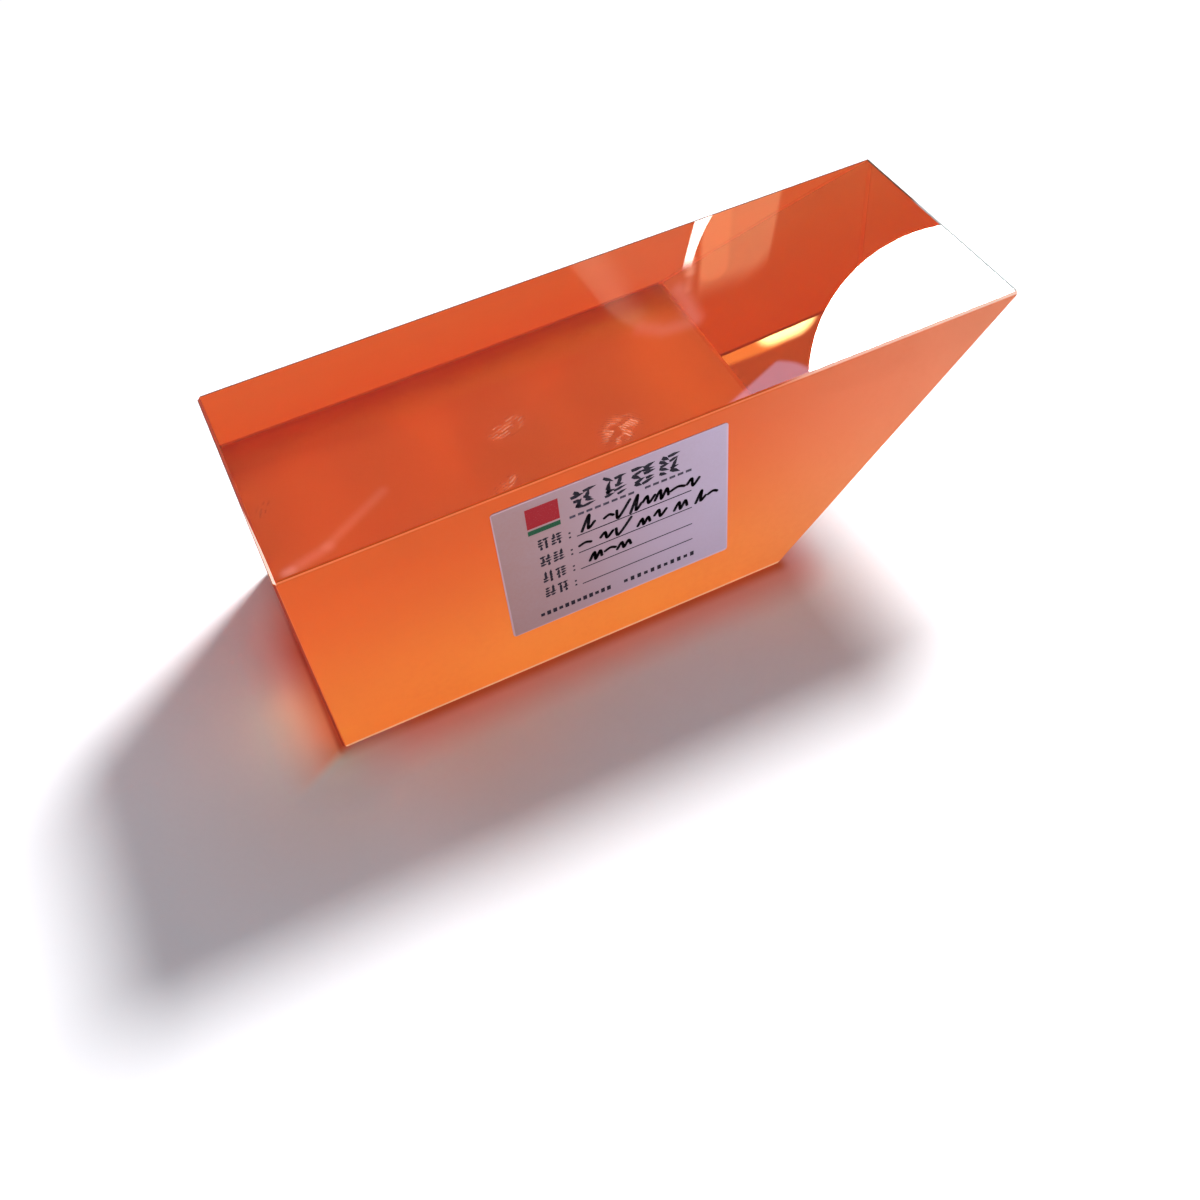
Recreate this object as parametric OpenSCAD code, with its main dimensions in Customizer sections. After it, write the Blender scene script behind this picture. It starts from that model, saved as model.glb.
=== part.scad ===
// Right angle prism: a crystal block of right trapezoid section whose slanted
// end face turns a beam by 90 degrees, with a paper label stuck to its front side.
// +X points to the slanted end, -Y to the label and +Z up. The origin is under
// the middle of the top face, in the plane of the bottom face.

/* [Prism] */
// Length of the top face, from the square end to the sharp upper edge
top_length = 125; // [110:1:160]
// Width between the two ground sides
prism_width = 44; // [20:1:80]
// Height from the bottom face to the top face
prism_height = 43; // [38:1:55]
// Angle between the top face and the reflecting end face
reflector_angle = 45; // [40:1:50]

/* [Edges and corners] */
// Width that a protective bevel takes off each face beside a square edge
bevel = 0.5; // [0.2:0.1:1.5]
// Length ground off along each edge at a corner, past the point where its bevels meet
corner_flat = 0.4; // [0.1:0.1:1]

/* [Label] */
// Length of the label along the prism
label_length = 39.5; // [25:0.5:45]
// Height of the label
label_height = 29.5; // [15:0.5:32]
// Thickness of the label's paper with its glue
label_thickness = 0.1; // [0.05:0.01:0.3]
// Radius of the label's corners
label_corner = 0.6; // [0.2:0.1:3]
// Gap between the label's upper edge and the top face
label_gap = 3.1; // [2:0.1:4]
// Turn of the label on the side, in degrees, positive as it leans to the left
label_turn = -0.3; // [-2:0.1:2]

/* [Hidden] */
$fn = 48;

square_end_x = -top_length / 2;
slant_run = prism_height / tan(reflector_angle);
bottom_length = top_length - slant_run;
label_x = square_end_x + (bottom_length + slant_run / 2) / 2;
label_z = prism_height - label_gap - label_height / 2;

// Sharp outline of the section in X and Z, anticlockwise from the lower square corner
outline = [
    [square_end_x, 0],
    [square_end_x + bottom_length, 0],
    [square_end_x + top_length, prism_height],
    [square_end_x, prism_height]
];
// Inner angle at each of those corners
inner_angles = [90, 180 - reflector_angle, reflector_angle, 90];

function unit(v) = v / norm(v);
function next(i) = (i + 1) % len(outline);
function previous(i) = (i + len(outline) - 1) % len(outline);
function towards(i, j) = unit(outline[j] - outline[i]);

// Every bevel face has the width that the bevel has on a square edge, so a
// sharper edge is cut back further along its two faces.
function bevel_leg(i) = bevel * sqrt(2) / (2 * sin(inner_angles[i] / 2));
bevelled_outline = [
    for (i = [0 : len(outline) - 1])
        for (j = [previous(i), next(i)])
            outline[i] + bevel_leg(i) * towards(i, j)
];

// Distance from a sharp corner, along each of its edges, at which its tip is cut
function corner_leg(i) =
    bevel_leg(i) * (1 - sin(inner_angles[i]) / 2) + bevel + corner_flat;

// A bar along one edge of a side face, whose inner face lies in the bevel
module side_bevel_bar(i, side) {
    run = outline[next(i)] - outline[i];
    bar = 4 * bevel;
    overrun = prism_width;
    translate([outline[i].x, side * prism_width / 2, outline[i].y])
        rotate([0, -atan2(run.y, run.x), 0])
            rotate([-135 * side, 0, 0])
                translate([-overrun, -bar / 2, -bevel / sqrt(2)])
                    cube([norm(run) + 2 * overrun, bar, bar]);
}

// A block outside the plane through the points one corner_leg along the three edges
module corner_block(i, side) {
    tip = [outline[i].x, side * prism_width / 2, outline[i].y];
    back = towards(i, previous(i));
    ahead = towards(i, next(i));
    inward = [back.x + ahead.x, 0, back.y + ahead.y];
    lean = inner_angles[i] / 2;
    away = unit(-inward / norm(inward) / cos(lean) + [0, side, 0]);
    depth = corner_leg(i) * away.y * side;
    block = 4 * corner_leg(i);
    translate(tip)
        rotate([0, acos(away.z), atan2(away.y, away.x)])
            translate([-block / 2, -block / 2, -depth])
                cube(block);
}

module label_outline() {
    square([label_length - 2 * label_corner, label_height], center = true);
    square([label_length, label_height - 2 * label_corner], center = true);
    for (x = [-1, 1], y = [-1, 1])
        translate([
            x * (label_length / 2 - label_corner),
            y * (label_height / 2 - label_corner)
        ])
            circle(label_corner);
}

module prism() {
    color([0.91, 0.42, 0.18])
        difference() {
            rotate([90, 0, 0])
                linear_extrude(height = prism_width, center = true)
                    polygon(bevelled_outline);
            for (i = [0 : len(outline) - 1], side = [-1, 1]) {
                side_bevel_bar(i, side);
                corner_block(i, side);
            }
        }
}

module label() {
    color([0.72, 0.66, 0.76])
        translate([label_x, -prism_width / 2, label_z])
            rotate([90, 0, 0])
                linear_extrude(height = label_thickness)
                    rotate(label_turn)
                        label_outline();
}

prism();
label();
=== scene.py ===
"""How a right angle prism of orange infrared crystal looks, with its paper label still stuck on one side."""

import math
import random

import bmesh
import bpy
from mathutils import Matrix, Vector


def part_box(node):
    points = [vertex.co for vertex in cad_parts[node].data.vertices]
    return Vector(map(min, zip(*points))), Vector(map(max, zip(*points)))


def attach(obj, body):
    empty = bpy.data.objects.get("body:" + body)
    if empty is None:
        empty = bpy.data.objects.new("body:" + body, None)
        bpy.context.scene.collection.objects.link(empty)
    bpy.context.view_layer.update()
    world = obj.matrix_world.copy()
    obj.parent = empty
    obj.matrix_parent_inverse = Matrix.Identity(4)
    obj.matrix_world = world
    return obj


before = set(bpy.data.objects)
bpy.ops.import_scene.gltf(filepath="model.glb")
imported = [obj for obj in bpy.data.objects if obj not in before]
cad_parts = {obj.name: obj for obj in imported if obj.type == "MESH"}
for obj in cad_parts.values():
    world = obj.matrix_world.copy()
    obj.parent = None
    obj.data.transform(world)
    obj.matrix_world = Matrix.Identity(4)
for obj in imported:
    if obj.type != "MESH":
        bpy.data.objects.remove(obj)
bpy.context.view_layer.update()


# ---- Camera --------------------------------------------------------------------------------------
# It is held over the left front of the prism and tilted, so that it looks steeply down along it.

eye = Vector((-0.06017, -0.14584, 0.17573))
ahead = Vector((0.21403, 0.58634, -0.78128)).normalized()
tilted_up = Vector((0.37794, 0.68782, 0.61973))
across = ahead.cross(tilted_up).normalized()
above = across.cross(ahead)

camera_data = bpy.data.cameras.new("camera")
camera_data.sensor_width = 36
camera_data.lens = 38.22
camera_data.clip_start = 0.01
camera = bpy.data.objects.new("camera", camera_data)
camera.matrix_world = Matrix.Translation(eye) @ Matrix((across, above, -ahead)).transposed().to_4x4()
bpy.context.scene.collection.objects.link(camera)
bpy.context.scene.camera = camera


# ---- Crystal -------------------------------------------------------------------------------------
# One block of zinc selenide, a clear orange crystal that bends light strongly. The top, the 45 degree
# face and the square end are polished. The two sides, the base and the small bevels are fine ground.

refraction = 2.6
crystal_tint = (0.98, 0.6, 0.15)
tint_per_metre = 12

# Where the block's outer faces lie, in millimetres
prism_low, prism_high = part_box("prism")
square_end = prism_low.x * 1000
front_side = prism_low.y * 1000
sharp_tip = prism_high.x * 1000
back_side = prism_high.y * 1000
top_level = prism_high.z * 1000


class Wire:
    """One output of a shader node. Arithmetic on it adds Math nodes, and node() adds any other node."""

    def __init__(self, tree, socket=None):
        self.tree = tree
        self.socket = socket

    def node(self, kind, settings, sockets, output=0):
        """Adds a node, makes its settings, fills its sockets with wires or values, and gives an output."""
        made = self.tree.nodes.new(kind)
        for name, value in settings.items():
            setattr(made, name, value)
        for name, value in sockets.items():
            if isinstance(value, Wire):
                self.tree.links.new(value.socket, made.inputs[name])
            elif made.inputs[name].type == "RGBA":
                made.inputs[name].default_value = (*value, 1)
            else:
                made.inputs[name].default_value = value
        return Wire(self.tree, made.outputs[output] if made.outputs else None)

    def math(self, operation, *values):
        return self.node("ShaderNodeMath", {"operation": operation}, dict(enumerate(values)))

    def vector(self, operation, *values, output=0):
        return self.node("ShaderNodeVectorMath", {"operation": operation}, dict(enumerate(values)), output)

    def __add__(self, other):
        return self.math("ADD", self, other)

    def __sub__(self, other):
        return self.math("SUBTRACT", self, other)

    def __rsub__(self, other):
        return self.math("SUBTRACT", other, self)

    def __mul__(self, other):
        return self.math("MULTIPLY", self, other)

    def __truediv__(self, other):
        return self.math("DIVIDE", self, other)

    def __rtruediv__(self, other):
        return self.math("DIVIDE", other, self)

    __radd__ = __add__
    __rmul__ = __mul__

    def fade(self, low, high):
        """A soft step from 0 below low to 1 above high, or down from 1 to 0 if low is the larger."""
        ends = {"From Min": low, "From Max": high}
        if low > high:
            ends = {"From Min": high, "From Max": low, "To Min": 1.0, "To Max": 0.0}
        return self.node("ShaderNodeMapRange", {"interpolation_type": "SMOOTHSTEP"}, {"Value": self, **ends})

    def blend(self, first, second):
        """The first where this wire is 0 and the second where it is 1: two colours, or two shaders."""
        if isinstance(second, Wire) and second.socket.type == "SHADER":
            return self.node("ShaderNodeMixShader", {}, {0: self, 1: first, 2: second})
        return self.node("ShaderNodeMix", {"data_type": "RGBA"}, {0: self, 6: first, 7: second}, 2)

    def scaled(self, vector, by):
        return self.node("ShaderNodeVectorMath", {"operation": "SCALE"}, {0: vector, "Scale": by})

    def millimetres(self):
        """The place on the piece in millimetres, in the row frame."""
        return self.scaled(self.node("ShaderNodeTexCoord", {}, {}, "Object"), 1000)

    def noise(self, place, scale, detail=2.0):
        return self.node("ShaderNodeTexNoise", {}, {"Vector": place, "Scale": scale, "Detail": detail}, 0)

    def axis(self, name):
        return self.node("ShaderNodeSeparateXYZ", {}, {0: self}, name)

    def ray(self, kind):
        """1 for rays of one kind, such as "Is Glossy Ray", and 0 for the others."""
        return self.node("ShaderNodeLightPath", {}, {}, kind)

    def outer_side(self):
        """1 where the surface is looked at from outside the piece, and 0 from inside it."""
        return 1 - self.node("ShaderNodeNewGeometry", {}, {}, "Backfacing")


def new_material(name):
    """An empty material, and a wire to start its nodes from."""
    made = bpy.data.materials.new(name)
    made.use_nodes = True
    made.node_tree.nodes.clear()
    return made, Wire(made.node_tree)


def close_crystal(start, surface):
    """Ends a crystal material: its surface, and the orange that builds up with the depth of crystal."""
    depth = start.node("ShaderNodeVolumeAbsorption", {}, {"Color": crystal_tint, "Density": tint_per_metre})
    start.node("ShaderNodeOutputMaterial", {}, {"Surface": surface, "Volume": depth})


def touch_mark(start, place, centre, turn, length, width, ridge_gap, pattern):
    """A smudge that a finger or a cloth leaves: fine ridges in a soft oval, broken up by noise. The pattern
    is RINGS, round a point outside the oval, or BANDS."""
    local = start.node(
        "ShaderNodeMapping",
        {"vector_type": "TEXTURE"},
        {"Vector": place, "Location": (*centre, 0), "Rotation": (0, 0, math.radians(turn))},
    )
    oval = start.vector("MULTIPLY", local, (2 / length, 2 / width, 0))
    inside = start.vector("LENGTH", oval, output="Value").fade(1.0, 0.45)
    ridges = start.node(
        "ShaderNodeTexWave",
        {"wave_type": pattern, "rings_direction": "Z", "bands_direction": "Y"},
        {
            "Vector": start.vector("ADD", local, (0.6 * length, 0.35 * width, 0)),
            "Scale": math.pi / 10 / ridge_gap,
            "Distortion": 5.0,
            "Detail": 2.0,
            "Detail Scale": 0.8,
        },
        1,
    )
    worn = start.noise(place, 0.7, 3.0).fade(0.42, 0.60)
    return inside * ridges.fade(0.45, 0.8) * worn


def polished(name, colour, marks_and_edge_shade, bloom):
    """A polished face, with the marks on it if it has been handled, and any painted shade along its
    edges. Bloom is the share gone cloudy.
    """
    material, start = new_material(name)
    surface = start.node("ShaderNodeBsdfGlass", {}, {"Color": colour, "Roughness": 0.0, "IOR": refraction})
    if bloom:
        cloud = start.node("ShaderNodeBsdfTranslucent", {}, {"Color": (0.97, 0.36, 0.15)})
        surface = start.node("ShaderNodeMixShader", {}, {0: bloom, 1: surface, 2: cloud})
    if marks_and_edge_shade:
        surface = marks_and_edge_shade(start, surface)
    close_crystal(start, surface)
    return material


def top_marks_and_edge_shade(start, surface):
    """What is on the top: three finger marks, a patch of scratches and dust, and along its far edges,
    where the bevels behind it start, a line of painted shade that only the outside shows, dark at the
    back and grey towards the front."""
    place = start.millimetres()
    finger = touch_mark(start, place, (-7.2, -18.3), 25, 9.0, 6.5, 0.5, "RINGS")
    thumb = touch_mark(start, place, (-22.0, -9.5), 18, 8.0, 4.5, 0.6, "BANDS")
    edge = touch_mark(start, place, (-26.8, -20.4), 25, 6.0, 2.6, 0.5, "BANDS")
    scratches = touch_mark(start, place, (-59.6, -7.4), 62, 4.5, 2.6, 0.8, "BANDS")
    cells = start.node("ShaderNodeTexVoronoi", {}, {"Vector": place, "Scale": 0.16}, 0)
    dust = cells.fade(0.022, 0.012)
    wiped = start.noise(place, 0.09, 4.0).fade(0.5, 0.8)
    marks = finger * 0.70 + thumb * 0.45 + edge * 0.60 + scratches * 0.14 + dust * 0.35 + wiped * 0.012
    grease = {"Base Color": (1.0, 0.38, 0.20), "Roughness": 0.6, "IOR": 1.3}
    film = start.node("ShaderNodeBsdfPrincipled", {}, grease)
    # The edge line is painted shade: dark at the back, grey towards the front of the sharp end.
    painted_edge_colour = place.axis("Y").fade(5, 8).blend((0.30, 0.33, 0.33), (0.07, 0.035, 0.025))
    dull = {"Base Color": painted_edge_colour, "Roughness": 0.6, "Specular IOR Level": 0.0}
    line = start.node("ShaderNodeBsdfPrincipled", {}, dull)
    back_edge = (back_side - place.axis("Y")).fade(0.74, 0.68)
    slope_edge = (sharp_tip - place.axis("X")).fade(0.647, 0.607)
    painted_edge_lines = start.math("MAXIMUM", back_edge, slope_edge) * start.outer_side()
    return painted_edge_lines.blend(marks.blend(surface, film), line)


# The shade of each kind of ground face. Most of its changes over the face are painted light and shade,
# for the light that scatters inside the crystal. It is made twice: tone keeps its colours as they are
# for the matt shader, and turns each into a glow of that colour for the light that comes through.


def front_shade(place, tone):
    """Deep orange with painted light: brighter lower down and, at the top, towards the square end, paler
    and pinker towards the sharp end, and a painted pale highlight along the foot.
    """
    head = place.axis("X").fade(-40, -60).blend(tone((0.76, 0.150, 0.028)), tone((0.81, 0.156, 0.028)))
    foot = place.axis("X").fade(-15, -58).blend(tone((1.0, 0.400, 0.074)), tone((1.0, 0.345, 0.064)))
    shade = place.axis("Z").fade(38, -2).blend(head, foot)
    shade = (place.axis("X").fade(-10, 62) * 0.85).blend(shade, tone((0.80, 0.30, 0.16)))
    return place.axis("Z").fade(1.05, 0.80).blend(shade, tone((1.0, 0.74, 0.42)))


def back_shade(place, tone):
    """Orange, a little paler at the square end. Its bevels are painted a little deeper, as painted shade
    against the stronger lamp light that they catch.
    """
    shade = place.axis("X").fade(-62, 10).blend(tone((0.77, 0.33, 0.085)), tone((0.72, 0.31, 0.090)))
    bevel = (back_side - place.axis("Y")).fade(0.02, 0.05)
    shade = bevel.blend(shade, tone((0.67, 0.265, 0.075)))
    return (top_level - place.axis("Z")).fade(0.55, 0.45).blend(shade, tone((0.69, 0.28, 0.078)))


def base_shade(place, tone):
    """Deep orange, with painted light: paler in the strip behind and at the slope's foot, which less light
    reaches. The strip is narrower towards the square end."""
    shade = place.axis("X").fade(-62, 0).blend(tone((0.80, 0.20, 0.046)), tone((0.77, 0.205, 0.050)))
    shade = place.axis("X").fade(-8, 14).blend(shade, tone((0.90, 0.25, 0.050)))
    behind = place.axis("X").fade(-34, 12).blend(tone((1.0, 0.42, 0.075)), tone((1.0, 0.55, 0.09)))
    from_strip = place.axis("Y") - (back_side - 1)
    narrower = place.axis("X").fade(-30, -60) * 0.5
    return (from_strip * (narrower + 1)).fade(-10, 0).blend(shade, behind)


def near_top(place):
    """1 on the bevels along the top, and 0 below them."""
    return (top_level - place.axis("Z")).fade(0.65, 0.55)


def painted_highlight_line(place):
    """1 along the painted highlight line on the bevel between the top and the front, and 0 beside it."""
    from_front = place.axis("Y") - front_side
    return from_front.fade(0.10, 0.15) * from_front.fade(0.31, 0.27) * near_top(place)


def painted_cream_reflection(place):
    """1 on the part of the square end's top bevel that is painted cream, a painted reflection of the white
    wall, wider towards the front.
    """
    reach = place.axis("Y").fade(2, -20) * 0.5
    from_end = place.axis("X") - square_end
    inside = (from_end - reach).fade(0.0, -0.05) * from_end.fade(0.08, 0.12)
    return inside * (top_level - place.axis("Z")).fade(0.5, 0.4) * place.axis("Y").fade(2, -3)


def bevel_shade(place, tone):
    """The front bevels: orange like their neighbours, painted paler towards the sharp end near the lamp's
    reflection. The one on top has a painted highlight line and a painted shade line along it. The upright
    one has painted dark red shade on its outer half, and the one on the square end's top has a painted
    dark outline and a painted cream reflection of the white wall."""
    from_front = place.axis("Y") - front_side
    from_end = place.axis("X") - square_end
    pale = place.axis("X").fade(0, 60)
    shade = pale.blend(tone((0.84, 0.19, 0.045)), tone((0.90, 0.34, 0.17)))
    # A painted highlight line along the bevel on top, with a painted shade line above it.
    painted_highlight = pale.blend(tone((1.0, 0.33, 0.12)), tone((1.0, 0.66, 0.48)))
    shade = painted_highlight_line(place).blend(shade, painted_highlight)
    painted_shade_line = from_front.fade(0.27, 0.31) * near_top(place) * (1 - pale)
    shade = painted_shade_line.blend(shade, tone((0.60, 0.105, 0.020)))
    shade = (from_front.fade(0.40, 0.44) * (1 - pale)).blend(shade, tone((0.76, 0.13, 0.03)))
    # Painted dark red shade on the upright bevel's outer half, and a painted dark outline on the end's top.
    painted_dark_half = from_end.fade(0.35, 0.30) * (1 - near_top(place))
    shade = painted_dark_half.blend(shade, tone((0.40, 0.05, 0.02)))
    painted_end_outline = from_end.fade(0.16, 0.12) * (top_level - place.axis("Z")).fade(0.5, 0.4)
    shade = painted_end_outline.blend(shade, tone((0.12, 0.06, 0.04)))
    return painted_cream_reflection(place).blend(shade, tone((1.0, 0.92, 0.80)))


def painted_bevel_glint(place):
    """Painted highlights and reflections, given out as emission: along the highlight line, a painted
    reflection of the white wall along the cream part, and of the lamp towards the sharp end on the bevel
    in front."""
    near_lamp = place.axis("X").fade(17, 26) * (top_level - place.axis("Z")).fade(0.5, 0.1)
    glint = painted_highlight_line(place).blend((0, 0, 0), (0.12, 0.045, 0.018))
    glint = near_lamp.blend(glint, (0.62, 0.70, 0.68))
    return painted_cream_reflection(place).blend(glint, (0.95, 0.80, 0.62))


def ground(name, shade_of, clear, roughness, painted_glint_of=None):
    """A ground face. It is matt to the light outside the crystal and glows with the light inside it, and
    clear is the share of the glow. The glint, if any, is a painted glint along its polished edges, given
    out as emission."""
    material, start = new_material(name)
    place = start.millimetres()
    cloud = start.noise(place, 0.045, 3.0) * 0.6 + start.noise(place, 0.9, 2.0) * 0.4
    cloudy = cloud.fade(0.40, 0.75) * 0.13
    # A painted dark rim along the top of the back side: painted shade that only the outside shows.
    at_back = (back_side - place.axis("Y")).fade(0.55, 0.45)
    painted_rim_shade = at_back * (top_level - place.axis("Z")).fade(0.30, 0.22) * start.outer_side()

    def shade(tone):
        clean = cloudy.blend(shade_of(place, tone), tone((0.72, 0.17, 0.05)))
        return painted_rim_shade.blend(clean, tone((0.16, 0.06, 0.035)))

    def colour_itself(colour):
        return colour

    def glow_of(colour):
        return start.node("ShaderNodeBsdfTranslucent", {}, {"Color": colour})

    grain = start.noise(place, 9, 3.0)
    lapped = start.node("ShaderNodeBump", {}, {"Strength": 0.12, "Distance": 0.00003, "Height": grain})
    skin = {"Base Color": shade(colour_itself), "Roughness": grain * 0.15 + roughness, "IOR": 1.36}
    skin["Normal"] = lapped
    if painted_glint_of:
        skin["Emission Color"] = painted_glint_of(place)
        skin["Emission Strength"] = 1.0
    matt = start.node("ShaderNodeBsdfPrincipled", {}, skin)
    surface = start.node("ShaderNodeMixShader", {}, {0: clear, 1: matt, 2: shade(glow_of)})
    close_crystal(start, surface)
    return material


FINISHES = (
    polished("crystal_polished_top", (1, 1, 1), top_marks_and_edge_shade, 0.0),
    # The slope's glass is tinted a little, which dims the red that it shows: painted shade.
    polished("crystal_polished_slope", (0.88, 0.96, 0.96), None, 0.0),
    polished("crystal_polished_end", (1, 1, 1), None, 0.5),
    ground("crystal_ground_front", front_shade, 0.38, 0.55),
    ground("crystal_ground_back", back_shade, 0.58, 0.55),
    ground("crystal_ground_base", base_shade, 0.4, 0.55),
    ground("crystal_ground_bevel", bevel_shade, 0.4, 0.3, painted_bevel_glint),
)
TOP, SLOPE, END, FRONT, BACK, BASE, BEVEL = range(len(FINISHES))

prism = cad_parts["prism"]
prism.data.materials.clear()
for material in FINISHES:
    prism.data.materials.append(material)


square_on = 0.99  # how nearly a large face's normal runs along an axis


def face_finish(normal):
    """Which finish a face of the prism has, from the way it faces. Bevels at the back and at the foot take
    the finish of the side that they are next to."""
    if normal.z > square_on:
        return TOP
    if normal.z < -square_on:
        return BASE
    if normal.y < -square_on:
        return FRONT
    if normal.y > square_on:
        return BACK
    if normal.x < -square_on:
        return END
    if abs(normal.y) < 0.01 and normal.x > 0.7 and normal.z < -0.7:
        return SLOPE
    if normal.y > 0.5:
        return BACK
    if normal.z < -0.1:
        return BASE
    return BEVEL


for face in prism.data.polygons:
    face.material_index = face_finish(face.normal)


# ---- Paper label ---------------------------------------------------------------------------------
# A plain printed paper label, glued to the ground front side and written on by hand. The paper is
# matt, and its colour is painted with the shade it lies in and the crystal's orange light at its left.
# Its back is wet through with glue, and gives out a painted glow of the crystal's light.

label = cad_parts["label"]
label_low, label_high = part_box("label")
label_centre = (label_low + label_high) / 2
label_turn = math.radians(-0.3)


def label_paper():
    """White paper with fibres and faint stains, painted with the shade it lies in: darker and redder with
    the crystal's light at its left, lilac grey at its right, and with a painted pale highlight along its
    border.
    """
    material, start = new_material("label_paper")
    place = start.millimetres()
    fibres = start.noise(place, 2.2, 4.0)
    stain = start.noise(place, 0.12, 2.0)
    # Painted shade and light: dark and reddish at the left, lilac grey at the right.
    colour = place.axis("X").fade(-32, 10).blend((0.325, 0.165, 0.150), (0.45, 0.37, 0.52))
    colour = (fibres * 0.25 + stain * 0.3).blend(colour, (0.36, 0.28, 0.33))
    half_size = (label_high - label_low) * 500
    from_middle = start.vector("ABSOLUTE", start.vector("SUBTRACT", place, label_centre * 1000))
    past_ends = from_middle.axis("X") - half_size.x
    past_border = start.math("MAXIMUM", past_ends, from_middle.axis("Z") - half_size.z)
    # A painted pale highlight along the border.
    colour = (past_border.fade(-0.36, -0.26) * 0.5).blend(colour, (0.66, 0.44, 0.52))
    pulp = start.node("ShaderNodeBump", {}, {"Strength": 0.3, "Distance": 0.00002, "Height": fibres})
    sheet = {"Base Color": colour, "Roughness": 0.7, "IOR": 1.4, "Normal": pulp}
    surface = start.node("ShaderNodeBsdfPrincipled", {}, sheet)
    start.node("ShaderNodeOutputMaterial", {}, {"Surface": surface})
    return material


def label_glue_side():
    """The back of the label as the crystal shows it. It gives the crystal's light on by itself, because a
    face that lies on another one gets none."""
    material, start = new_material("label_glue_side")
    place = start.millimetres()
    soaked = start.noise(place, 0.35, 3.0).fade(0.35, 0.65)
    seen = place.axis("Z").fade(40, 8).blend((0.31, 0.060, 0.014), (0.40, 0.092, 0.021))
    seen = (soaked * 0.25).blend(seen, (0.38, 0.10, 0.028))
    glue = {"Base Color": (0.30, 0.08, 0.02), "Roughness": 0.6}
    shine = {"Emission Color": seen, "Emission Strength": 1.0}
    surface = start.node("ShaderNodeBsdfPrincipled", {}, {**glue, **shine})
    start.node("ShaderNodeOutputMaterial", {}, {"Surface": surface})
    return material


label.data.materials.clear()
label.data.materials.append(label_paper())
label.data.materials.append(label_glue_side())
for face in label.data.polygons:
    face.material_index = 1 if face.normal.y > square_on else 0


# ---- Print on the label --------------------------------------------------------------------------
# A small mark, a title, a thin line of print, four captions with ruled lines to write on, and a foot
# line. All of it is flat patches of ink, a hundredth of a millimetre proud, and none of it is lettering.

ink_proud = 0.012
ink_sunk = 0.03

# Heights of the printed lines above the label's middle, in millimetres
title_height = 10.8
small_line_height = 7.75
rule_heights = (3.1, -0.85, -4.75, -8.45)
foot_line_height = -12.1


def ink(name, colour, roughness, wear):
    """Ink on paper, with fine pale specks where the paper's grain shows through it."""
    material, start = new_material(name)
    place = start.millimetres()
    specks = start.noise(place, 7, 3.0).fade(0.60, 0.72) * wear
    colour = specks.blend(colour, (0.62, 0.52, 0.58))
    dry = {"Base Color": colour, "Roughness": roughness, "Specular IOR Level": 0.15}
    surface = start.node("ShaderNodeBsdfPrincipled", {}, dry)
    start.node("ShaderNodeOutputMaterial", {}, {"Surface": surface})
    return material


def print_patches(name, outlines, material):
    """Makes one piece of flat patches of ink from outlines in millimetres from the label's centre."""
    mesh = bmesh.new()
    for outline in outlines:
        front = [mesh.verts.new((x, -ink_proud, z)) for x, z in outline]
        back = [mesh.verts.new((x, ink_sunk, z)) for x, z in outline]
        mesh.faces.new(front)
        mesh.faces.new(back[::-1])
        for k in range(len(outline)):
            mesh.faces.new((front[k - 1], back[k - 1], back[k], front[k]))
    bmesh.ops.recalc_face_normals(mesh, faces=mesh.faces)
    face_centre = Vector((label_centre.x, label_low.y, label_centre.z))
    turned = Matrix.Rotation(-label_turn, 4, "Y")
    mesh.transform(Matrix.Translation(face_centre) @ turned @ Matrix.Scale(0.001, 4))
    data = bpy.data.meshes.new(name)
    mesh.to_mesh(data)
    mesh.free()
    data.materials.append(material)
    piece = bpy.data.objects.new(name, data)
    bpy.context.scene.collection.objects.link(piece)
    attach(piece, "root")


def bar(x, z, length, height):
    """A level printed bar, from the middle of its left end."""
    low = z - height / 2
    high = z + height / 2
    return [(x, low), (x + length, low), (x + length, high), (x, high)]


def dab(x, z, length, turn, width):
    """A short brush mark round a middle, blunt where the brush is set down and pointed at its other end."""
    along = Vector((math.cos(turn), math.sin(turn))) * length / 2
    side = Vector((-along.y, along.x)).normalized() * width / 2
    middle = Vector((x, z))
    outline = (
        middle - along * 0.9 - side * 0.8,
        middle - along * 0.2 - side,
        middle + along,
        middle + side * 0.9,
        middle - along + side * 0.7,
    )
    return [tuple(point) for point in outline]


black_print = ink("black_print", (0.012, 0.010, 0.02), 0.5, 0.12)
draw = random.Random(11)
title_dabs = []
for middle in (-4.9, 0.4, 5.1, 9.6):
    for row in (-1.6, -0.8, 0.0, 0.8, 1.6):
        for column in (-0.9, 0.8):
            turn = draw.choice((0.1, 0.2, 1.2, -0.6)) + draw.uniform(-0.15, 0.15)
            x = middle + column + draw.uniform(-0.3, 0.3)
            z = title_height + row + draw.uniform(-0.2, 0.2)
            title_dabs.append(dab(x, z, draw.uniform(1.5, 2.4), turn, draw.uniform(0.6, 0.85)))
print_patches("printed_title", title_dabs, black_print)

small_dashes = []
for k in range(15):
    if k != 8:
        small_dashes.append(bar(-7.6 + 1.42 * k, small_line_height, 1.0, 0.5))
print_patches("printed_small_line", small_dashes, ink("grey_print", (0.05, 0.04, 0.065), 0.5, 0.3))

captions = []
rules = []
for z in rule_heights:
    for middle in (-12.3, -10.1):
        for row in (0.45, 1.05, 1.65, 2.25):
            for column in (-0.45, 0.45):
                turn = draw.choice((0.1, 0.1, 1.5)) + draw.uniform(-0.1, 0.1)
                captions.append(dab(middle + column, z + row, draw.uniform(0.8, 1.1), turn, 0.5))
    for rise in (0.35, 1.35):
        captions.append(bar(-8.1, z + rise, 0.35, 0.35))
    rules.append(bar(-6.8, z, 20.0, 0.2))
print_patches("printed_captions", captions, black_print)
print_patches("printed_rules", rules, black_print)

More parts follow.
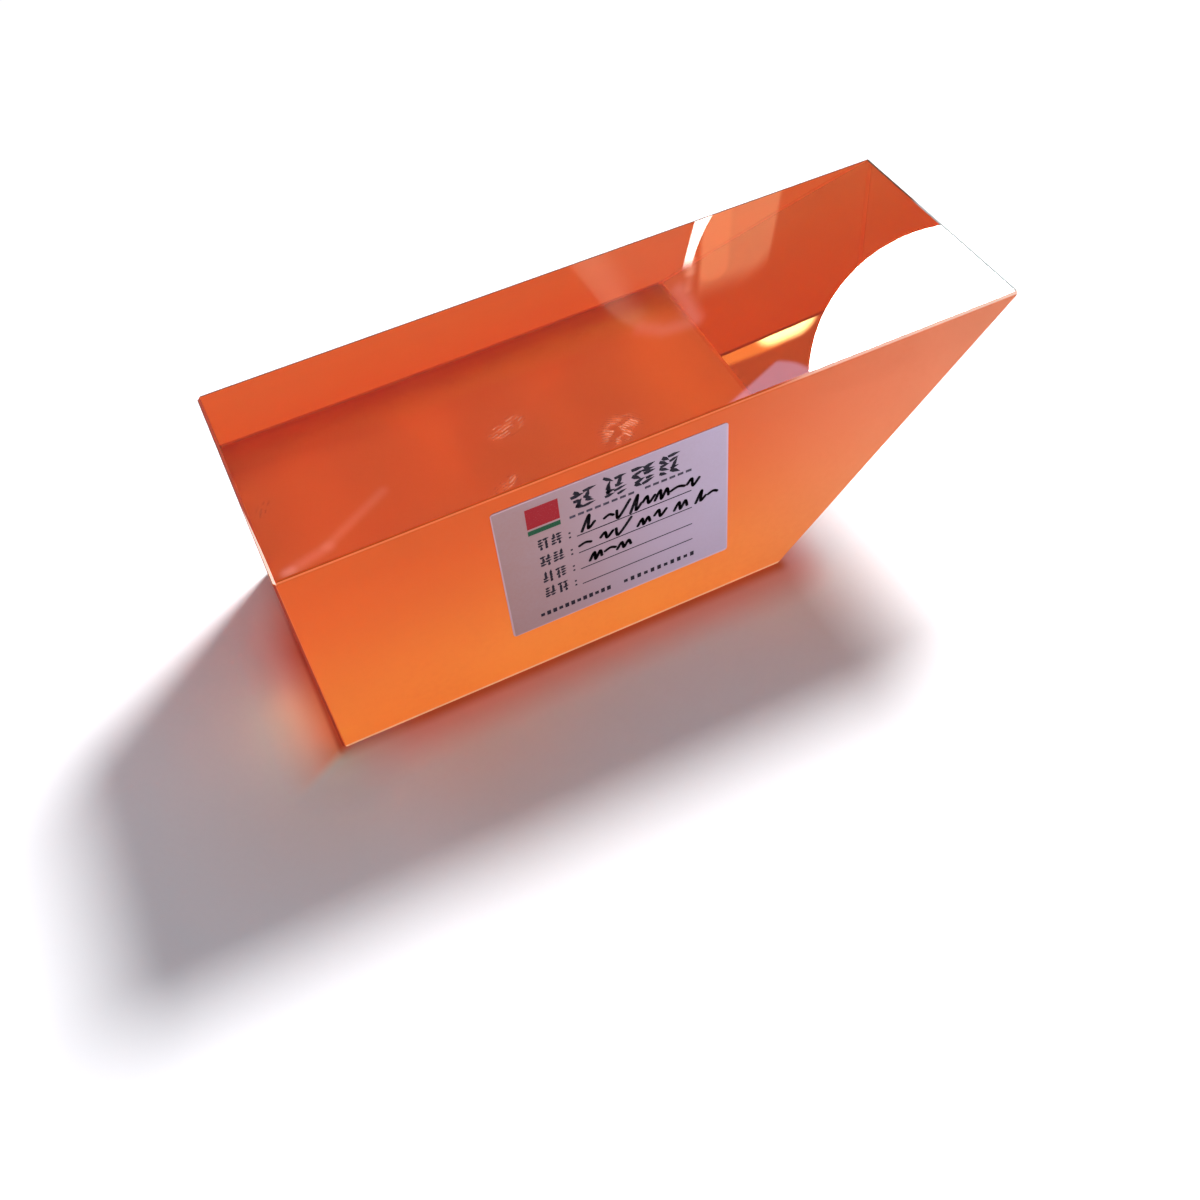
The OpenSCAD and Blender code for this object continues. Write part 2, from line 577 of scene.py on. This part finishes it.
foot_dashes = []
for first, count, pitch in ((-14.6, 12, 1.08), (0.4, 11, 1.23)):
    for k in range(count):
        height = 1.0 if k % 3 else 0.7
        foot_dashes.append(bar(first + pitch * k, foot_line_height, 0.68, height))
print_patches("printed_foot_line", foot_dashes, black_print)

mark_left = -14.5
mark_length = 5.4
red_square = bar(mark_left, 10.75, mark_length, 4.3)
green_bar = bar(mark_left, 7.7, mark_length, 1.0)
print_patches("printed_mark_red", [red_square], ink("red_print", (0.30, 0.012, 0.02), 0.4, 0.12))
print_patches("printed_mark_green", [green_bar], ink("green_print", (0.012, 0.075, 0.035), 0.4, 0.12))


# ---- Pen writing ---------------------------------------------------------------------------------
# Black marker on the first three lines: rows of plain ticks and waves, not words. It is as thin a layer
# of ink as the print is.

pen_width = 0.56
PEN_MARKS = (
    # A wave, a spike, a double wave, a tick and a dash, each in a box that is 1 wide and 1 high
    ((0.0, 0.35), (0.3, 0.6), (0.6, 0.15), (1.0, 0.5)),
    ((0.0, 0.05), (0.35, 0.95), (0.55, 0.1), (1.0, 0.4)),
    ((0.0, 0.15), (0.25, 0.65), (0.5, 0.1), (0.75, 0.6), (1.0, 0.2)),
    ((0.0, 0.55), (0.3, 0.05), (1.0, 0.95)),
    ((0.0, 0.42), (0.5, 0.55), (1.0, 0.42)),
)
PEN_ROWS = (
    # left end, right end, foot and height in millimetres, from the label's middle
    (-5.9, 14.4, 3.5, 3.3),
    (-6.8, 18.0, -0.4, 3.1),
    (-5.2, 3.4, -4.1, 2.9),
)


def smooth_line(points, steps=5):
    """Points along a smooth curve through the given ones."""
    path = []
    for k in range(len(points) - 1):
        before = Vector(points[max(k - 1, 0)])
        first = Vector(points[k])
        second = Vector(points[k + 1])
        after = Vector(points[min(k + 2, len(points) - 1)])
        for step in range(steps):
            t = step / steps
            straight = 2 * first + (second - before) * t
            bend = (2 * before - 5 * first + 4 * second - after) * t**2
            path.append((straight + bend + (3 * first - before - 3 * second + after) * t**3) / 2)
    path.append(Vector(points[-1]))
    return path


def pen_stroke(points):
    """A stroke of a round pen, as short overlapping patches, so that tight turns stay clean."""
    path = smooth_line(points)
    patches = []
    for first, second in zip(path, path[1:]):
        outline = []
        for k in range(12):
            around = Vector((math.cos(math.pi * k / 6), math.sin(math.pi * k / 6))) * pen_width / 2
            outline.append(tuple((second if around.dot(second - first) > 0 else first) + around))
        patches.append(outline)
    return patches


draw = random.Random(12)
strokes = []
last_mark = None
for x, row_end, foot, tall in PEN_ROWS:
    while x < row_end - 1.2:
        width = min(draw.uniform(1.5, 2.4), row_end - x)
        high = tall * draw.uniform(0.75, 1.15)
        drop = draw.uniform(-0.2, 0.2)
        slant = 0.25 * high
        last_mark = draw.choice([mark for mark in PEN_MARKS if mark is not last_mark])
        strokes += pen_stroke([(x + width * p + slant * q, foot + drop + high * q) for p, q in last_mark])
        x += width + draw.choice((0.3, 0.5, 0.7, 1.7))
print_patches("pen_writing", strokes, ink("black_marker", (0.008, 0.007, 0.012), 0.35, 0.15))


# ---- Floor ---------------------------------------------------------------------------------------
# A white table top. What looks at it straight, in a mirror or through glass sees it a little lighter
# than the lamp leaves it and plain white further off, and it keeps the prism's shadow.

floor_half = 3.0
floor_level = -0.00001
foot_end = 19.2  # where the base ends and the slope starts, in millimetres
floor_data = bpy.data.meshes.new("floor")
corners = [(x * floor_half, y * floor_half, floor_level) for x, y in ((-1, -1), (1, -1), (1, 1), (-1, 1))]
floor_data.from_pydata(corners, [], [(0, 1, 2, 3)])
floor = bpy.data.objects.new("floor", floor_data)
bpy.context.scene.collection.objects.link(floor)


def beyond(start, place, half_size):
    """How far a place on the table lies outside an upright box round the origin."""
    corner = start.vector("MAXIMUM", start.vector("ABSOLUTE", place), half_size)
    return start.vector("DISTANCE", corner, half_size, output="Value")


def table_colour(start, place, from_foot):
    """White, with painted light and shade near the foot: a painted red glow of the light that leaves the
    crystal low down, along the front and deeper beside the square end, with painted dark red shade close
    against the foot. Off the near corner it has a painted grey shadow."""
    off_corner = (front_side - place.axis("Y")) * 0.88 + (place.axis("X") - square_end) * 0.48
    in_front = off_corner.fade(-1.2, 1.2)
    painted_red_glow = from_foot.fade(11, 1) * in_front * place.axis("X").fade(-66, -50)
    colour = painted_red_glow.blend((0.94, 0.94, 0.96), (0.86, 0.46, 0.44))
    colour = (from_foot.fade(2.5, 0) * in_front).blend(colour, (0.70, 0.22, 0.10))
    from_corner = start.vector("DISTANCE", place, (square_end, front_side, 0), output="Value")
    colour = (from_corner.fade(16, 2) * in_front * 0.6).blend(colour, (0.66, 0.62, 0.68))
    beside_end = (1 - in_front) * place.axis("Y").fade(21, 0) * place.axis("X").fade(-55, -62)
    colour = (from_foot.fade(13, 0) * beside_end).blend(colour, (0.92, 0.33, 0.20))
    return (from_foot.fade(1.3, 0.4) * beside_end).blend(colour, (0.66, 0.14, 0.07))


def white_table():
    """The table's material. A thin veil of painted light over it stands for what the walls add to it. It
    is weaker close to the prism and fades out at its foot, which leaves painted shade there.
    """
    material, start = new_material("white_table")
    place = start.millimetres()
    foot_middle = Vector(((square_end + foot_end) / 2, 0, 0))
    foot_half = Vector(((foot_end - square_end) / 2, back_side, 0))
    from_foot = beyond(start, start.vector("SUBTRACT", place, foot_middle), foot_half)
    dull = {"Base Color": table_colour(start, place, from_foot), "Specular IOR Level": 0.0}
    lit = start.node("ShaderNodeBsdfPrincipled", {}, dull)
    beside = beyond(start, place, Vector((sharp_tip, back_side, 0))).fade(2, 40)
    towards_end = place.axis("X").fade(45, -60) * 0.03
    off_end = place.axis("X").fade(-40, -62) * 0.045
    veiled = (beside * (towards_end + 0.05) + off_end + 0.02) * from_foot.fade(-1, 6)
    lighter = start.node("ShaderNodeEmission", {}, {"Color": (0.95, 0.97, 1.13), "Strength": 1.0})
    veil = start.node("ShaderNodeMixShader", {}, {0: veiled, 2: lighter})
    near = start.node("ShaderNodeAddShader", {}, {0: lit, 1: veil})
    white = start.node("ShaderNodeEmission", {}, {"Color": (1, 1, 1), "Strength": 1.0})
    far_off = start.vector("LENGTH", place, output="Value").fade(170, 320)
    looking = start.ray("Is Camera Ray") + start.ray("Is Glossy Ray") + start.ray("Is Transmission Ray")
    seen = start.math("MINIMUM", looking, 1.0)
    surface = seen.blend(lit, far_off.blend(near, white))
    start.node("ShaderNodeOutputMaterial", {}, {"Surface": surface})
    return material


floor_data.materials.append(white_table())


# ---- Lamp ----------------------------------------------------------------------------------------
# A round white lamp high behind the right end. It shows as a white disc in the polished top, and its
# light holds its strength over the table, as a larger lamp further away does.

lamp_place = Vector((0.262, 0.2128, 0.330))
lamp_target = Vector((0, 0, 0.02))
lamp_radius = 0.069
lamp_radiance = 72.0
lamp_area = math.pi * lamp_radius**2
top_middle = Vector((0, 0, prism_high.z))
lamp_reach = (lamp_place - top_middle).length

lamp_data = bpy.data.lights.new("lamp", "AREA")
lamp_data.shape = "DISK"
lamp_data.size = 2 * lamp_radius
lamp_data.energy = lamp_radiance * math.pi * lamp_area
lamp_data.use_nodes = True
lamp_data.node_tree.nodes.clear()
start = Wire(lamp_data.node_tree)
steady = start.node("ShaderNodeLightFalloff", {}, {"Strength": 1 / lamp_reach**2}, "Constant")
start.node("ShaderNodeOutputLight", {}, {0: start.node("ShaderNodeEmission", {}, {"Strength": steady})})
lamp = bpy.data.objects.new("lamp", lamp_data)
lamp.location = lamp_place
lamp.rotation_euler = (lamp_target - lamp_place).to_track_quat("-Z", "Y").to_euler()
lamp.visible_camera = False
bpy.context.scene.collection.objects.link(lamp)


# ---- Light inside the crystal --------------------------------------------------------------------
# The lamp's beam after the top has bent it to a steep slope. Lamp light isn't followed through a
# curved path, so a row of sheets just under the top gives it out again, at the slope it takes inside.

beam_sheets = 6
beam_spread = math.radians(25)
through_top = 0.81
sheet_gap = 0.0005
sheet_share = 0.98

down = (top_middle - lamp_place).normalized()
level = Vector((down.x, down.y, 0)) / refraction
beam = level + Vector((0, 0, -math.sqrt(1 - level.length**2)))
top_light = lamp_radiance * lamp_area / lamp_reach**2 * -down.z * through_top
sheet_length = (prism_high.x - prism_low.x) / beam_sheets
sheet_width = prism_high.y - prism_low.y
sheet_x = (Vector((1, 0, 0)) - beam * beam.x).normalized()
sheet_y = (-beam).cross(sheet_x)
sheet_drop = sheet_gap + abs(sheet_x.z) * sheet_length / 2 + abs(sheet_y.z) * sheet_width / 2

for k in range(beam_sheets):
    sheet_data = bpy.data.lights.new(f"beam_{k + 1}", "AREA")
    sheet_data.shape = "RECTANGLE"
    sheet_data.size = sheet_length * sheet_share
    sheet_data.size_y = sheet_width * sheet_share
    sheet_data.spread = beam_spread
    sheet_data.energy = top_light * sheet_length * sheet_width
    sheet_lamp = bpy.data.objects.new(f"beam_{k + 1}", sheet_data)
    middle = Vector((prism_low.x + sheet_length * (k + 0.5), 0, prism_high.z - sheet_drop))
    turned = Matrix((sheet_x, sheet_y, -beam)).transposed().to_4x4()
    sheet_lamp.matrix_world = Matrix.Translation(middle) @ turned
    sheet_lamp.visible_camera = False
    sheet_lamp.visible_glossy = False
    sheet_lamp.visible_transmission = False
    bpy.context.scene.collection.objects.link(sheet_lamp)


# ---- Light out of the square end -----------------------------------------------------------------
# Some of the light inside leaves through the polished end, and colours the table beside it: a deep
# orange low down and close by, and a paler one further out.

END_GLOWS = (
    # name, middle from the end's foot, width, height (all in millimetres), way it shines, colour, watts
    ("end_glow_low", (-2.2, -15.0, 6.0), 18, 5, (-0.55, -0.20, -1.0), (0.95, 1.0, 0.40), 0.00020),
    ("end_glow_wide", (-1.0, -13.0, 16.0), 18, 26, (-1.0, -0.70, -0.60), (1.0, 0.60, 0.50), 0.00070),
)
for name, middle, width, height, shine_way, colour, watts in END_GLOWS:
    glow_data = bpy.data.lights.new(name, "AREA")
    glow_data.shape = "RECTANGLE"
    glow_data.size = width / 1000
    glow_data.size_y = height / 1000
    glow_data.color = colour
    glow_data.energy = watts
    glow = bpy.data.objects.new(name, glow_data)
    glow.location = Vector(middle) / 1000 + Vector((prism_low.x, 0, 0))
    glow.rotation_euler = Vector(shine_way).to_track_quat("-Z", "Y").to_euler()
    glow.visible_camera = False
    glow.visible_glossy = False
    glow.visible_transmission = False
    bpy.context.scene.collection.objects.link(glow)


# ---- Room ----------------------------------------------------------------------------------------
# White walls round the table and a dim ceiling, which keeps the polished top deep orange. A window
# with a pale curtain stands behind, and shows as soft patches and a white streak in the top.

room = bpy.data.worlds.new("room")
bpy.context.scene.world = room
room.use_nodes = True
room.node_tree.nodes.clear()
start = Wire(room.node_tree)
mirrored = start.ray("Is Glossy Ray")
through = start.ray("Is Transmission Ray")
way = start.node("ShaderNodeTexCoord", {}, {}, "Generated")
behind = way.axis("Y")

# Where a ray meets the back wall, to the right and up, in units of how far off the wall is
plan = start.node("ShaderNodeCombineXYZ", {}, {"X": way.axis("X") / behind, "Y": way.axis("Z") / behind})


def pane(corners):
    """1 inside an outline on the back wall that turns left at its corners. The third number of a corner
    is how soft the side that starts there is."""
    inside = 1.0
    for (x, y, softness), (next_x, next_y, _) in zip(corners, corners[1:] + corners[:1]):
        inward = Vector((y - next_y, next_x - x, 0)).normalized()
        edge = inward.dot((x, y, 0))
        depth = start.vector("DOT_PRODUCT", plan, inward, output="Value")
        inside = depth.fade(edge - softness, edge + softness) * inside
    return inside


def band(first, second, half_width, softness):
    """1 along a band of the back wall between two places on it, and 0 away from it, with soft edges."""
    first = Vector((*first, 0))
    run = Vector((*second, 0)) - first
    offset = start.vector("SUBTRACT", plan, first)
    share = start.vector("DOT_PRODUCT", offset, run / run.length_squared, output="Value")
    share = start.math("MINIMUM", start.math("MAXIMUM", share, 0.0), 1.0)
    gap = start.vector("DISTANCE", offset, start.scaled(run, share), output="Value")
    return gap.fade(half_width + softness, max(half_width - softness, 0.0))


def either(first, *others):
    """1 where any of several lit places is."""
    for other in others:
        first = start.math("MAXIMUM", first, other)
    return first


curtain = pane(
    [
        (0.366, 0.775, 0.010),
        (0.510, 0.775, 0.012),
        (0.522, 0.928, 0.010),
        (0.487, 0.931, 0.008),
        (0.440, 0.902, 0.005),
        (0.412, 0.868, 0.004),
    ]
)
fold = band((0.447, 0.866), (0.487, 0.894), 0.016, 0.013)
near_pane = pane(
    [
        (0.5445, 0.775, 0.010),
        (0.625, 0.775, 0.004),
        (0.617, 0.830, 0.004),
        (0.610, 0.870, 0.012),
        (0.592, 0.888, 0.022),
        (0.564, 0.890, 0.022),
        (0.521, 0.885, 0.004),
        (0.5265, 0.815, 0.003),
    ]
)

# The gap beside the curtain is a streak with a straight side and a curved one, and a fainter foot
drop = plan.axis("Y") - 0.7933
left_side = plan.axis("X") + drop * 0.30 - 0.5174
right_side = 0.5403 - drop * 0.72 + drop * drop * 4.6 - plan.axis("X")
streak = left_side.fade(0, 0.0025) * right_side.fade(0, 0.002) * drop.fade(0.059, 0.037)
streak_foot = either(
    band((0.5129, 0.8428), (0.5115, 0.856), 0.004, 0.006),
    band((0.5115, 0.856), (0.5090, 0.876), 0.002, 0.006) * 0.3,
)

curtain_hem = either(
    band((0.497, 0.874), (0.517, 0.921), 0.005, 0.012),
    band((0.517, 0.924), (0.476, 0.921), 0.004, 0.011) * 0.6,
    band((0.476, 0.921), (0.449, 0.906), 0.004, 0.011) * 0.6,
)
pale_edge = band((0.385, 0.770), (0.436, 0.885), 0.016, 0.014) * curtain
near_fold = band((0.545, 0.78), (0.540, 0.86), 0.018, 0.004) * near_pane
lilac_pane = pane(
    [
        (0.548, 1.076, 0.004),
        (0.6252, 1.0296, 0.004),
        (0.652, 1.043, 0.004),
        (0.690, 1.080, 0.004),
        (0.690, 1.15, 0.004),
        (0.548, 1.15, 0.004),
    ]
)
WALL_LIGHTS = (
    # colour, brightness, where
    ((0.60, 0.72, 0.50), 0.165, curtain * (1 - fold * 0.95)),
    ((0.70, 0.75, 0.55), 0.27, pale_edge),
    ((1.0, 0.80, 0.82), 0.31, curtain_hem),
    ((1.0, 0.97, 0.90), 7.0, streak),
    ((1.0, 0.85, 0.62), 0.8, streak_foot),
    ((0.92, 0.70, 0.38), 0.72, near_pane),
    ((1.0, 0.35, 0.12), 0.40, near_fold),
    ((0.45, 0.70, 1.10), 1.0, lilac_pane),
    # a faint glare that runs in over the top from its near corner
    ((1.0, 0.60, 0.50), 0.42, band((0.004, 1.0610), (0.0527, 1.0475), 0.0070, 0.007)),
    ((1.0, 0.85, 0.75), 0.45, band((0.000, 1.0620), (0.006, 1.0610), 0.005, 0.006)),
    ((1.0, 0.75, 0.55), 0.28, band((0.0527, 1.0450), (0.1284, 0.997), 0.0045, 0.0075)),
    # a red glow, an orange patch and a yellow bar, which show only through the slope
    ((1.0, 0.16, 0.0), 0.85, band((-1.03, 0.45), (-1.03, 0.80), 0.12, 0.03) * through),
    ((1.0, 0.5, 0.15), 2.0, band((-0.97, 0.52), (-0.97, 0.62), 0.037, 0.004) * through),
    ((1.0, 0.95, 0.70), 14.0, band((-0.975, 0.622), (-0.975, 0.650), 0.024, 0.009) * through),
)

# The ceiling starts higher up in front. The light from low in front comes in through the slope and the
# ground side, and a mirror sees less of it, so that the top isn't washed out from behind.
wall_above = behind.fade(0.1, -0.3) * 0.10
ceiling = (way.axis("Z") - wall_above).fade(0.14, 0.36)
low_in_front = behind.fade(0.0, -0.4) * way.axis("Z").fade(0.22, 0.06)
room_light = ceiling.blend((0.97, 0.98, 1.0), (0.07, 0.07, 0.075))
front_light = mirrored.blend((5.6, 5.6, 5.7), (1.3, 1.3, 1.3))
room_light = low_in_front.blend(room_light, front_light)
on_back_wall = behind.fade(0.05, 0.1)
window_light = room_light
for colour, brightness, where in WALL_LIGHTS:
    shine = start.scaled(colour, where * on_back_wall * brightness)
    window_light = start.vector("ADD", window_light, shine)
plain = start.node("ShaderNodeBackground", {}, {"Color": room_light})
detailed = start.node("ShaderNodeBackground", {}, {"Color": window_light})
white = start.node("ShaderNodeBackground", {}, {"Color": (1, 1, 1)})
lit_by = start.math("MINIMUM", mirrored + through, 1.0).blend(plain, detailed)
start.node("ShaderNodeOutputWorld", {}, {0: start.ray("Is Camera Ray").blend(lit_by, white)})

bpy.context.scene.view_settings.view_transform = "Standard"
